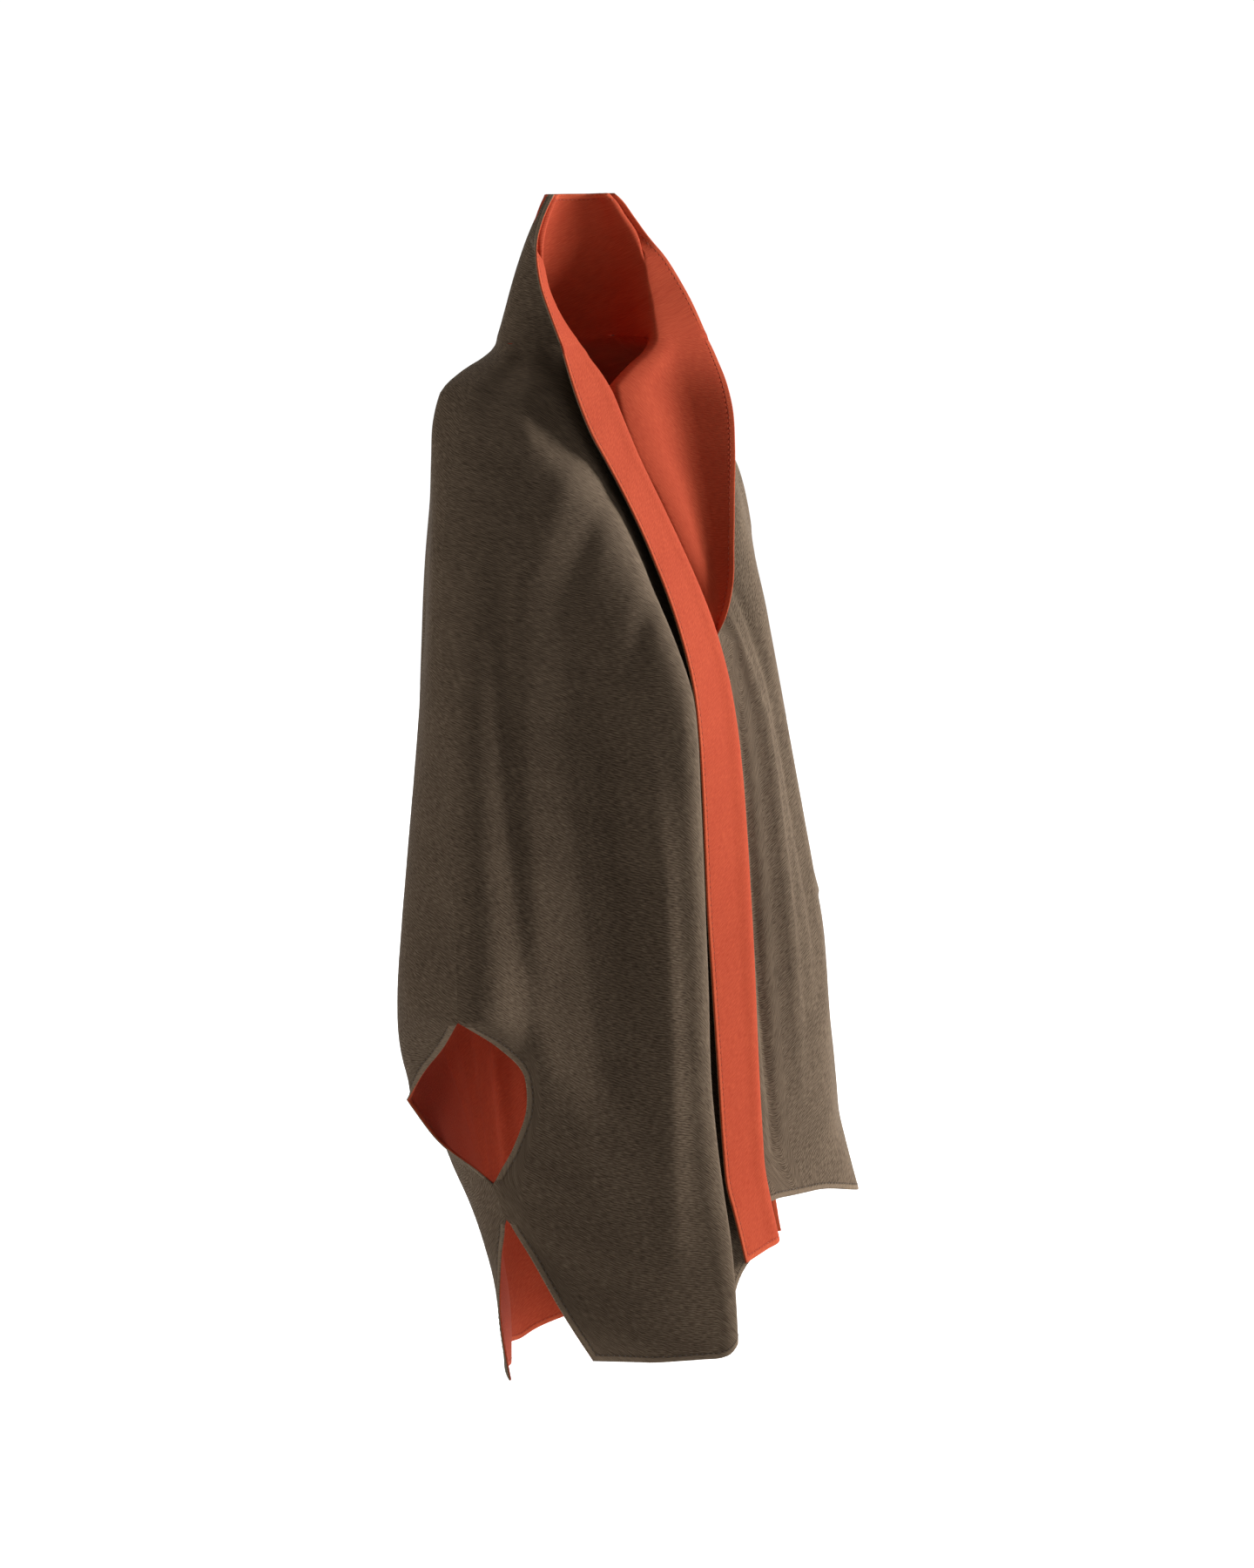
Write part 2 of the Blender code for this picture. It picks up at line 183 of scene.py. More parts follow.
# %% Curves through points
STEP = 4.5 * MM
SHORTEST_SPAN = 1e-7
KINK_START, KINK_FULL = math.radians(32), math.radians(50)
# The cloth leans, so a step down it is this much longer than its drop.
LEAN = 1.15


def unit_rows(vectors):
    return vectors / np.maximum(np.linalg.norm(vectors, axis=-1, keepdims=True), TINY)


def curve_through(points, parts, keep_kinks=False):
    """A smooth curve through the points, with parts[i] steps between point i and the next."""
    spans = np.maximum(np.linalg.norm(np.diff(points, axis=0), axis=1), SHORTEST_SPAN)[:, None]
    slopes = np.diff(points, axis=0) / spans
    turns = (slopes[:-1] * spans[1:] + slopes[1:] * spans[:-1]) / (spans[:-1] + spans[1:])
    turns = np.vstack([1.5 * slopes[:1] - 0.5 * turns[:1], turns, 1.5 * slopes[-1:] - 0.5 * turns[-1:]])
    leaving, arriving = turns.copy(), turns.copy()
    if keep_kinks:
        bend = np.arccos(np.clip((slopes[:-1] * slopes[1:]).sum(1), -1, 1))
        sharp = np.clip((bend - KINK_START) / (KINK_FULL - KINK_START), 0, 1)[:, None]
        arriving[1:-1] += sharp * (slopes[:-1] - turns[1:-1])
        leaving[1:-1] += sharp * (slopes[1:] - turns[1:-1])
    curve = []
    for i, count in enumerate(parts):
        t = (np.arange(count) / count)[:, None]
        curve.append((1 + 2 * t) * (1 - t) ** 2 * points[i] + t * (1 - t) ** 2 * spans[i] * leaving[i]
                     + t * t * (3 - 2 * t) * points[i + 1] + t * t * (t - 1) * spans[i] * arriving[i + 1])
    return np.vstack(curve + [points[-1:]])


def parts_for(lengths):
    """How many steps each length is cut into, two at least."""
    return [max(2, int(round(length / STEP))) for length in lengths]


def close_net(points):
    """The table's points with smooth curves through them, first across and then down."""
    across = parts_for(np.linalg.norm(np.diff(points, axis=1), axis=2).mean(axis=0))
    down = parts_for(np.abs(np.diff(points[..., 2], axis=0)).mean(axis=1) * LEAN)
    wide = np.array([curve_through(row, across) for row in points])
    columns = [curve_through(wide[:, j], down, keep_kinks=True) for j in range(wide.shape[1])]
    return np.stack(columns, axis=1)


nets = {name: close_net(points) for name, (points, _) in tables.items()}
for name, net in nets.items():
    print(name, "net:", net.shape[0], "by", net.shape[1])

# %% [markdown]
# ## Seams
#
# The solids stop a hair short of each other where they are sewn. On the real cape the edges are turned
# in and meet, so here each edge point that lies within a few millimetres of another piece's edge moves
# halfway to it. Both pieces do that, so they meet on one line. What has no neighbour stays a free edge,
# which is later rounded and gets its hand stitching.

# %% Close the seams
SEAM_REACH = 4.8 * MM


def border_points(net):
    """Row and column of every point of the net's border, in order round the piece."""
    rows, columns = net.shape[:2]
    top = [(0, j) for j in range(columns)]
    end = [(i, columns - 1) for i in range(1, rows)]
    foot = [(rows - 1, j) for j in range(columns - 2, -1, -1)]
    start = [(i, 0) for i in range(rows - 2, 0, -1)]
    return np.array(top + end + foot + start)


def nearest_on(line, point):
    """The point of a closed line that is nearest to the given one."""
    along = np.roll(line, -1, axis=0) - line
    share = ((point - line) * along).sum(1) / np.maximum((along ** 2).sum(1), TINY)
    feet = line + np.clip(share, 0, 1)[:, None] * along
    return feet[np.argmin(np.linalg.norm(feet - point, axis=1))]


borders = {name: border_points(net) for name, net in nets.items()}


def at_border(name, values):
    """A copy of what a table of the net's size holds along the border of this piece."""
    return values[tuple(borders[name].T)]


border_lines = {name: at_border(name, net) for name, net in nets.items()}
sewn = {name: np.zeros(net.shape[:2], bool) for name, net in nets.items()}
for name, net in nets.items():
    for other, line in border_lines.items():
        if other == name:
            continue
        for i, j in borders[name]:
            foot = nearest_on(line, net[i, j])
            if not sewn[name][i, j] and np.linalg.norm(foot - net[i, j]) < SEAM_REACH:
                net[i, j] = (net[i, j] + foot) / 2
                sewn[name][i, j] = True
    print(name, "has", int(sewn[name].sum()), "of", len(borders[name]), "border points in a seam")

# %% [markdown]
# ## Creases
#
# The solids already carry the big folds. The small ones are given one by one, as soft ridges and troughs
# that follow a path round the figure: the angle from the wearer's front, and the height. They push the
# cloth away from the figure or towards it. All the pieces are pushed by the same rule, so seams, lapels
# and stitching stay together.

# %% Soft ridges and troughs
# The figure's upright axis, and the cloth's mean distance from it.
AXIS_Y = -0.03
ROUND = 0.22
# A crease swells along its path as a half wave to this power, so it is full for most of its length.
SWELL_POWER = 0.7

# Each crease: half its width and its height in millimetres, then angle in degrees (the wearer's right is
# minus) and height in metres along its path.
CREASES = [
    # the wearer's right: ridge down the arm, the fold line in front of it, and the falls of the front
    (15, 7.6, (-89, -0.16), (-87, -0.30), (-85, -0.42), (-83, -0.52), (-81, -0.60)),
    (8, -8.5, (-86, -0.15), (-82.5, -0.29), (-79.5, -0.40), (-77, -0.50), (-76, -0.62)),
    (15, 4.0, (-76, -0.26), (-72, -0.38), (-69, -0.50), (-68, -0.66)),
    (16, -7.5, (-72, -0.20), (-66, -0.32), (-62, -0.46), (-60, -0.62)),
    (13, 5.5, (-55, -0.26), (-50, -0.42), (-48, -0.60), (-48, -0.76)),
    (14, 3.6, (-64, -0.05), (-75, -0.11), (-84, -0.22)),
    (13, -3.6, (-56, -0.08), (-68, -0.14), (-77, -0.24)),
    (12, -2.4, (-42, -0.15), (-54, -0.22), (-62, -0.34)),
    # the wearer's left, similar but not the same
    (10, 5.7, (24, -0.20), (27, -0.32), (24, -0.46), (23, -0.66)),
    (9, -5.7, (33, -0.16), (36, -0.30), (35, -0.44), (34, -0.60)),
    (9, -4.8, (14, -0.30), (11, -0.42), (9, -0.56), (8, -0.72)),
    (15, 6.6, (84, -0.18), (83, -0.34), (80, -0.50), (78, -0.62)),
    (9, -7.6, (78, -0.17), (75, -0.33), (72, -0.48), (71, -0.64)),
    (13, 5.7, (62, -0.06), (73, -0.12), (82, -0.21)),
    (14, -6.6, (63, -0.20), (59, -0.38), (57, -0.60)),
    # the back hangs in a few long falls
    (18, 7.6, (176, -0.22), (174, -0.45), (177, -0.80)),
    (14, -7.6, (158, -0.16), (154, -0.40), (156, -0.78)),
    (15, -6.6, (-160, -0.18), (-157, -0.44), (-160, -0.80)),
    (13, 5.7, (-140, -0.14), (-136, -0.38), (-139, -0.70)),
    (13, 6.6, (136, -0.15), (133, -0.36), (137, -0.66)),
    (12, -5.7, (112, -0.20), (109, -0.36), (112, -0.54)),
    (12, -5.7, (-113, -0.18), (-111, -0.35), (-114, -0.56)),
    (9, -3.0, (170, -0.05), (150, -0.09), (128, -0.15)),
    (9, -3.0, (-172, -0.06), (-152, -0.10), (-130, -0.17)),
]


def around(points):
    """How far round the figure a point is, as metres on a circle of the mean size."""
    return np.arctan2(points[..., 0], -(points[..., 1] - AXIS_Y)) * ROUND


def creased(points):
    """The points, pushed out or in by the creases."""
    spot = np.stack([around(points), points[..., 2]], axis=-1)
    push = np.zeros(points.shape[:-1])
    for half_width, height, *path in CREASES:
        line = np.array([(math.radians(angle) * ROUND, z) for angle, z in path])
        lengths = np.linalg.norm(np.diff(line, axis=0), axis=1)
        starts = np.concatenate([[0], np.cumsum(lengths)])
        nearest, place = np.full(push.shape, np.inf), np.zeros(push.shape)
        for k in range(len(lengths)):
            along = line[k + 1] - line[k]
            share = np.clip(((spot - line[k]) @ along) / (along @ along), 0, 1)
            gap = np.linalg.norm(spot - (line[k] + share[..., None] * along), axis=-1)
            place = np.where(gap < nearest, (starts[k] + share * lengths[k]) / starts[-1], place)
            nearest = np.minimum(gap, nearest)
        swell = np.sin(np.pi * np.clip(place, 0.0, 1.0)) ** SWELL_POWER
        push += height * MM * swell * np.exp(-(nearest / (half_width * MM)) ** 2)
    out = np.stack([points[..., 0], points[..., 1] - AXIS_Y, np.zeros(push.shape)], axis=-1)
    return points + push[..., None] * unit_rows(out)


nets = {name: creased(net) for name, net in nets.items()}
print("creases:", len(CREASES))

# %% [markdown]
# ## The way out of the cloth
#
# Each point of a net needs the way straight out of the cloth, its normal. Two pieces that meet in a
# seam would catch the light a little differently there, and the seam would show as a line. So each
# seam point shares its normal with the nearest edge point of its neighbour, unless the two pieces face
# too far apart, as they do where cloth turns back.

# %% Normals, shared at the seams
# The least cosine between two normals that may be shared.
SAME_WAY = 0.5


def net_normals(name, net):
    """The normal of each point. One point of the table, well inside the cloth, tells which way is out."""
    normals = unit_rows(np.cross(np.gradient(net, axis=1), np.gradient(net, axis=0)))
    points, outward = tables[name]
    row, column = points.shape[0] // 2, (3 * points.shape[1]) // 4
    gaps = np.linalg.norm(net - points[row, column], axis=2)
    nearest = np.unravel_index(np.argmin(gaps), gaps.shape)
    return normals * np.sign(normals[nearest] @ outward[row, column])


normals_of = {name: net_normals(name, net) for name, net in nets.items()}
own_normals = {name: at_border(name, normals) for name, normals in normals_of.items()}
for name, net in nets.items():
    others = [other for other in nets if other != name]
    places = np.vstack([at_border(other, nets[other]) for other in others])
    ways = np.vstack([own_normals[other] for other in others])
    seam_points = borders[name][at_border(name, sewn[name])]
    for i, j in seam_points:
        beside = np.argmin(np.linalg.norm(places - net[i, j], axis=1))
        if ways[beside] @ normals_of[name][i, j] > SAME_WAY:
            normals_of[name][i, j] = unit_rows(normals_of[name][i, j] + ways[beside])
    print(name, "seam points:", len(seam_points))

# %% [markdown]
# ## From net to cloth
#
# A Solidify modifier would give the wall its thickness, but its edges would be square, and a wool edge
# that is turned in and stitched by hand is round. So the wall is made here: the net moved out and in by
# half the wall, and a half round strip along each free edge. In a seam the strip goes straight through
# the wall, so the two pieces close flat against each other. Each point also remembers where it lies in
# the cut cloth and how far it is from the nearest free edge. The materials use both.

# %% The wall with its edges
HALF = WALL / 2
EDGE_TURNS = np.radians([60, 30, 0, -30, -60])
# Edge distances stop at this many millimetres, and a sewn side counts as a metre away.
FAR = 80.0
NO_EDGE = 1.0
# The least squared sine of the angle at which rows of points meet an edge.
LEAST_SLANT = 0.04


def lengths_from_start(net, axis):
    """How far each point is from the start of its row or column, measured along the cloth."""
    steps = np.linalg.norm(np.diff(net, axis=axis), axis=2)
    pad = [(0, 0), (0, 0)]
    pad[axis] = (1, 0)
    return np.pad(np.cumsum(steps, axis=axis), pad)


def edge_distances(name, net):
    """Millimetres along the cloth from each point to the nearest free edge, and each side's slant."""
    across, down = lengths_from_start(net, 1), lengths_from_start(net, 0)
    free = ~sewn[name]
    slant = {}
    for side, line, inside in (("start", net[:, 0], net[:, 1]), ("end", net[:, -1], net[:, -2]),
                               ("top", net[0], net[1]), ("foot", net[-1], net[-2])):
        along = unit_rows(np.gradient(line, axis=0))
        inward = unit_rows(inside - line)
        slant[side] = np.sqrt(np.clip(1 - (along * inward).sum(1) ** 2, LEAST_SLANT, 1))
    reach = [np.where(free[:, :1], across * slant["start"][:, None], NO_EDGE),
             np.where(free[:, -1:], (across[:, -1:] - across) * slant["end"][:, None], NO_EDGE),
             np.where(free[:1, :], down * slant["top"][None, :], NO_EDGE),
             np.where(free[-1:, :], (down[-1:, :] - down) * slant["foot"][None, :], NO_EDGE)]
    return np.minimum(np.min(reach, axis=0) / MM, FAR), slant


def make_cloth(name, net, normals, distance, materials):
    """The piece of cloth as an object: its outside, its inside and the border between them."""
    rows, columns = net.shape[:2]
    border = borders[name]
    line = at_border(name, net)
    border_normals = at_border(name, normals)
    along = unit_rows(np.roll(line, -1, axis=0) - np.roll(line, 1, axis=0))
    outward = unit_rows(np.cross(along, border_normals))
    inner_points = np.clip(border, 1, [rows - 2, columns - 2])
    towards_cloth = net[tuple(inner_points.T)] - line
    outward *= -np.sign((outward * towards_cloth).sum(1))[:, None]
    in_seam = at_border(name, sewn[name])
    outward[in_seam] = 0.0
    centre = line - HALF * outward
    shell = net.copy()
    shell[tuple(border.T)] = centre
    outside = (shell + HALF * normals).reshape(-1, 3)
    inside = (shell - HALF * normals).reshape(-1, 3)
    rings = [centre + HALF * (math.cos(turn) * outward + math.sin(turn) * border_normals)
             for turn in EDGE_TURNS]

    count = rows * columns
    numbers = np.arange(count).reshape(rows, columns)
    quads = np.stack([numbers[:-1, :-1], numbers[1:, :-1], numbers[1:, 1:], numbers[:-1, 1:]], axis=-1)
    quads = quads.reshape(-1, 4)
    round_border = numbers[tuple(border.T)]
    strips = [round_border]
    strips += [2 * count + k * len(border) + np.arange(len(border)) for k in range(len(rings))]
    strips.append(round_border + count)
    edge_quads = [np.stack([a, np.roll(a, -1), np.roll(b, -1), b], axis=-1)
                  for a, b in zip(strips[:-1], strips[1:])]
    faces = np.vstack([quads, quads[:, ::-1] + count] + edge_quads)
    slots = [np.zeros(len(quads)), np.ones(len(quads))]
    for k in range(len(edge_quads)):
        slots.append(np.full(len(border), 0 if k < len(edge_quads) // 2 else 1))

    mesh = bpy.data.meshes.new(name + "_cloth")
    mesh.from_pydata(np.vstack([outside, inside] + rings).tolist(), [], faces.tolist())
    mesh.polygons.foreach_set("material_index", np.concatenate(slots).astype(np.int32))
    cut = np.zeros((rows, columns, 3))
    cut[..., 0], cut[..., 1] = lengths_from_start(net, 1), lengths_from_start(net, 0)
    cut[..., 0] -= cut[rows // 2, columns // 2, 0]
    cut_place = np.vstack([cut.reshape(-1, 3)] * 2 + [at_border(name, cut)] * len(rings))
    edge_mm = np.concatenate([distance.ravel()] * 2 + [at_border(name, distance)] * len(rings))
    for layer, kind, field, values in (("cut_place", "FLOAT_VECTOR", "vector", cut_place),
                                       ("edge_mm", "FLOAT", "value", edge_mm)):
        attribute = mesh.attributes.new(layer, kind, "POINT")
        attribute.data.foreach_set(field, values.astype(np.float32).ravel())

    # The wall is smooth all over, but for the sharp corners where a seam closes flat.
    fix = bmesh.new()
    fix.from_mesh(mesh)
    bmesh.ops.recalc_face_normals(fix, faces=fix.faces[:])
    for face in fix.faces:
        face.smooth = True
    fix.verts.ensure_lookup_table()
    closed = in_seam & np.roll(in_seam, -1)
    for here, after in zip(round_border[closed], np.roll(round_border, -1)[closed]):
        for wall_side in (0, count):
            fix.edges.get((fix.verts[here + wall_side], fix.verts[after + wall_side])).smooth = False
    fix.to_mesh(mesh)
    fix.free()
    for material in materials:
        mesh.materials.append(material)
    cloth = bpy.data.objects.new(name + "_cloth", mesh)
    bpy.context.scene.collection.objects.link(cloth)
    print(cloth.name, "has", len(mesh.polygons), "faces")
    return cloth

# %% [markdown]
# ## Shader maths as plain expressions
#
# A wool is many small differences added up. Written as nodes that is hard to read, so one small class
# wraps a socket, and plus, minus, times and so on add the Math nodes.

# %% A socket that can be reckoned with


class Value:
    """The output of a node. Sums with it are made as nodes of the same material."""

    def __init__(self, recipe, socket):
        self.recipe = recipe
        self.socket = socket

    def maths(self, operation, first, second=None):
        sockets = {0: first} if second is None else {0: first, 1: second}
        return self.recipe.node("ShaderNodeMath", {"operation": operation}, sockets)

    def __add__(self, other):
        return self.maths("ADD", self, other)

    def __sub__(self, other):
        return self.maths("SUBTRACT", self, other)

    def __mul__(self, other):
        return self.maths("MULTIPLY", self, other)

    def __truediv__(self, other):
        return self.maths("DIVIDE", self, other)

    def sine(self):
        return self.maths("SINE", self)

    def size(self):
        return self.maths("ABSOLUTE", self)


class Recipe:
    """A material under construction."""

    def __init__(self, name):
        self.material = bpy.data.materials.new(name)
        self.material.use_nodes = True
        self.tree = self.material.node_tree
        self.shader = self.tree.nodes["Principled BSDF"]

    def node(self, kind, settings=None, sockets=None, output=0):
        """A node of this type, its settings set first, then its sockets set or linked."""
        made = self.tree.nodes.new(kind)
        for setting, value in (settings or {}).items():
            setattr(made, setting, value)
        for socket, value in (sockets or {}).items():
            if isinstance(value, Value):
                self.tree.links.new(value.socket, made.inputs[socket])
            else:
                made.inputs[socket].default_value = value
        return Value(self, made.outputs[output])

    def mixed(self, share, first, second):
        """A colour between two, by a share from 0 to 1."""
        return self.node("ShaderNodeMix", {"data_type": "RGBA"}, {0: share, 6: first, 7: second}, output=2)

    def scaled(self, value, low, high, to_low=0.0, to_high=1.0):
        """The value's range from low to high, spread smoothly over another range."""
        ranges = {"Value": value, "From Min": low, "From Max": high, "To Min": to_low, "To Max": to_high}
        return self.node("ShaderNodeMapRange", {"interpolation_type": "SMOOTHSTEP"}, ranges)

    def feed(self, **inputs):
        """Shader inputs by name, with underscores for spaces."""
        for name, value in inputs.items():
            socket = self.shader.inputs[name.replace("_", " ")]
            if isinstance(value, Value):
                self.tree.links.new(value.socket, socket)
            else:
                socket.default_value = value

# %% [markdown]
# ## The two wools
#
# The taupe face is a brushed twill of mixed yarns: short light and dark flecks that lie along the
# slanting rib, over a slow change of tone. The rust face is one colour and more felted, so its rib is
# almost lost. Both are matt, with the faint halo of loose fibres that sheen gives. Towards a free edge
# the colour is painted lighter, a painted highlight of the rounded edge, and the hand stitching sinks
# in a shallow groove whose colour is painted darker, as painted shade.

# %% Brushed wool
TWILL_ANGLE = math.radians(24)
RIB_WIDTH, RIB_WOBBLE = 1.9 * MM, 1.6
# In millimetres from a free edge: where the painted edge highlight is full and where it fades out, where it
# is stitched, and the groove's sides.
EDGE_HIGHLIGHT_FULL, EDGE_HIGHLIGHT_GONE = 2.5, 5.5
STITCH_LINE = 5.0
GROOVE_FLOOR, GROOVE_RIM = 0.2, 1.1
# How much each adds to the light colour, beside the flecks and the rib. The edge share is a painted highlight
# along the rounded edge, and the groove share is taken away as painted shade in the stitch groove.
TONE_SHARE, EDGE_HIGHLIGHT_SHARE, GROOVE_SHADE_SHARE = 0.06, 0.3, 0.2
# How high each stands in the bump, beside the rib.
FIBRE_HEIGHT, FLECK_HEIGHT, GROOVE_DEPTH = 0.4, 0.12, 0.9
BUMP_STRENGTH, BUMP_DISTANCE = 0.3, 0.5 * MM


def wool(name, dark, light, fleck_share, rib_share, seed):
    """A wool between two colours, by its flecks and fibres, its rib, its slow tone, a painted highlight at
    its edges and painted shade in its stitch groove.
    """
    recipe = Recipe(name)
    place = recipe.node("ShaderNodeAttribute", {"attribute_name": "cut_place"}, output=1)
    edge = recipe.node("ShaderNodeAttribute", {"attribute_name": "edge_mm"}, output=2)
    turned = {"Vector": place, "Location": (seed, 0.37 * seed, seed), "Rotation": (0, 0, TWILL_ANGLE)}
    along_rib = recipe.node("ShaderNodeMapping", {"vector_type": "POINT"}, turned)

    def cloud(length, width, detail=2.0, roughness=0.5):
        """Noise with grains of this length along the rib and width across it, in millimetres."""
        closeness = (1 / (length * MM), 1 / (width * MM), 1 / MM)
        stretched = recipe.node("ShaderNodeVectorMath", {"operation": "MULTIPLY"},
                                {0: along_rib, 1: closeness})
        return recipe.node("ShaderNodeTexNoise", {"noise_dimensions": "3D"},
                           {"Vector": stretched, "Scale": 1.0, "Detail": detail, "Roughness": roughness})

    flecks = recipe.scaled(cloud(length=6.0, width=0.9), low=0.25, high=0.75)
    fibres = cloud(length=1.3, width=0.35, detail=3.0, roughness=0.65)
    tone = recipe.scaled(cloud(length=90.0, width=30.0, detail=1.0), low=0.3, high=0.7)
    across_rib = recipe.node("ShaderNodeSeparateXYZ", {}, {0: along_rib}, output=1)
    wobble = cloud(length=9.0, width=9.0, detail=1.0)
    rib = ((across_rib / RIB_WIDTH + wobble * RIB_WOBBLE) * (2 * math.pi)).sine() * 0.5 + 0.5
    # Painted highlight: the colour is made lighter within a few millimetres of a free edge, where the rounded
    # edge catches the light.
    edge_highlight = recipe.scaled(edge, low=EDGE_HIGHLIGHT_FULL, high=EDGE_HIGHLIGHT_GONE, to_low=1.0, to_high=0.0)
    from_stitches = (edge - STITCH_LINE).size()
    groove = recipe.scaled(from_stitches, low=GROOVE_FLOOR, high=GROOVE_RIM, to_low=1.0, to_high=0.0)

    share = flecks * fleck_share + fibres * (0.5 * fleck_share) + rib * rib_share + tone * TONE_SHARE
    # Painted shade: the groove share darkens the colour along the stitch line, beside the groove's real dip
    # in the bump below.
    share = share + edge_highlight * EDGE_HIGHLIGHT_SHARE - groove * GROOVE_SHADE_SHARE
    recipe.feed(Base_Color=recipe.mixed(recipe.scaled(share, low=0.0, high=1.1), dark, light))
    recipe.feed(Roughness=recipe.scaled(fibres, low=0.2, high=0.8, to_low=0.82, to_high=0.98))
    height = rib * rib_share + fibres * FIBRE_HEIGHT + flecks * FLECK_HEIGHT - groove * GROOVE_DEPTH
    bump = {"Strength": BUMP_STRENGTH, "Distance": BUMP_DISTANCE, "Height": height}
    recipe.feed(Normal=recipe.node("ShaderNodeBump", {}, bump))
    recipe.feed(Sheen_Weight=0.08, Sheen_Roughness=0.45, Sheen_Tint=light, Specular_IOR_Level=0.12)
    return recipe.material


taupe = wool("taupe_wool", dark=(0.05, 0.031, 0.019, 1), light=(0.29, 0.21, 0.14, 1),
             fleck_share=0.46, rib_share=0.2, seed=3.1)
rust = wool("rust_wool", dark=(0.4, 0.045, 0.017, 1), light=(0.68, 0.125, 0.05, 1),
            fleck_share=0.36, rib_share=0.1, seed=7.7)
print("materials:", taupe.name, rust.name)

# %% [markdown]
# ## Dress the pieces
#
# Each cloth replaces its solid and rides on the part's one body. The size of the cloth it takes is measured
# and
# printed: its widest row by its longest column, and its own area inside that.

# %% Make the four cloths
cloths, slants = {}, {}
for name, net in nets.items():
    distance, slants[name] = edge_distances(name, net)
    cloths[name] = make_cloth(name, net, normals_of[name], distance, (taupe, rust))
    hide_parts(name)
    "rust_cloth" if name == "collar" else "taupe_cloth"
    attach(cloths[name], "root")
    width = float(lengths_from_start(net, 1)[:, -1].max())
    length = float(lengths_from_start(net, 0)[-1].max())
    cells = np.cross(net[1:, 1:] - net[:-1, :-1], net[1:, :-1] - net[:-1, 1:])
    area = float(np.linalg.norm(cells, axis=-1).sum() / 2)
    [] if name == "back" else ["back"]
    print(name, "flat size:", round(width, 3), "by", round(length, 3), "m, area", round(area, 3), "m2")

# %% [markdown]
# ## Hand stitching
#
# A double-faced cloth is finished by turning both faces in and catching them with small stitches a few
# millimetres from the edge. Each stitch is a short rounded thread, and there are about two hundred to
# the metre on each face.

# %% Where the stitches run
# A run of this many points or fewer is too short to stitch.
SHORT_RUN = 3


def lines_inside(name, net, normals):
    """Runs of points and normals that lie the stitch line's depth inside each free edge."""
    free, slant = ~sewn[name], slants[name]
    across, down = lengths_from_start(net, 1), lengths_from_start(net, 0)
    sides = (("start", net, normals, across, free[:, 0]),
             ("end", net[:, ::-1], normals[:, ::-1], across[:, -1:] - across[:, ::-1], free[:, -1]),
             ("top", net.swapaxes(0, 1), normals.swapaxes(0, 1), down.T, free[0]),
             ("foot", net[::-1].swapaxes(0, 1), normals[::-1].swapaxes(0, 1),
              (down[-1:] - down[::-1]).T, free[-1]))
    for side, points, ways, lengths, is_free in sides:
        run = []
        for k, open_here in enumerate(list(is_free) + [False]):
            if open_here:
                reach = STITCH_LINE * MM / slant[side][k]
                spot = [np.interp(reach, lengths[k], points[k, :, axis]) for axis in range(3)]
                way = [np.interp(reach, lengths[k], ways[k, :, axis]) for axis in range(3)]
                run.append((spot, way))
            elif run:
                if len(run) > SHORT_RUN:
                    yield np.array(run)
                run = []


# %% One stitch, and a piece's stitches
# A stitch's length, the step from one to the next, and half the thread's thickness.
STITCH, PITCH, THREAD = 2.8 * MM, 5.0 * MM, 0.28 * MM
# The thread's middle lies this share of its half thickness over the cloth, and its ends dip to this
# share of that height, into the cloth.
THREAD_LIFT, END_DIP = 0.3, 0.75
# Rings of points round the thread, by their place along it and their share of its thickness.
THREAD_RINGS = ((0.14, 0.8), (0.5, 1.0), (0.86, 0.8))
THREAD_SIDES = 6
POINTS_A_STITCH = 2 + len(THREAD_RINGS) * THREAD_SIDES


def stitch_points(start, end, way):
    """The points of one stitch: its first end, its rings, its last end."""
    aside = np.cross(unit_rows(end - start), way)
    lift = (HALF + THREAD_LIFT * THREAD) * way
    points = [start + END_DIP * lift]
    for share, width in THREAD_RINGS:
        centre = start * (1 - share) + end * share + lift
        for turn in np.arange(THREAD_SIDES) * (2 * math.pi / THREAD_SIDES):
            points.append(centre + width * THREAD * (math.cos(turn) * aside + math.sin(turn) * way))
    return points + [end + END_DIP * lift]


def stitch_faces(base):
    """The faces of the stitch whose first point has this number."""
    rings = [range(base + 1 + THREAD_SIDES * k, base + 1 + THREAD_SIDES * (k + 1))
             for k in range(len(THREAD_RINGS))]
    faces = []
    for k in range(THREAD_SIDES):
        after = (k + 1) % THREAD_SIDES
        faces.append((base, rings[0][k], rings[0][after]))
        faces.append((base + POINTS_A_STITCH - 1, rings[-1][after], rings[-1][k]))
        for near, far in zip(rings[:-1], rings[1:]):
            faces.append((near[k], far[k], far[after], near[after]))
    return faces


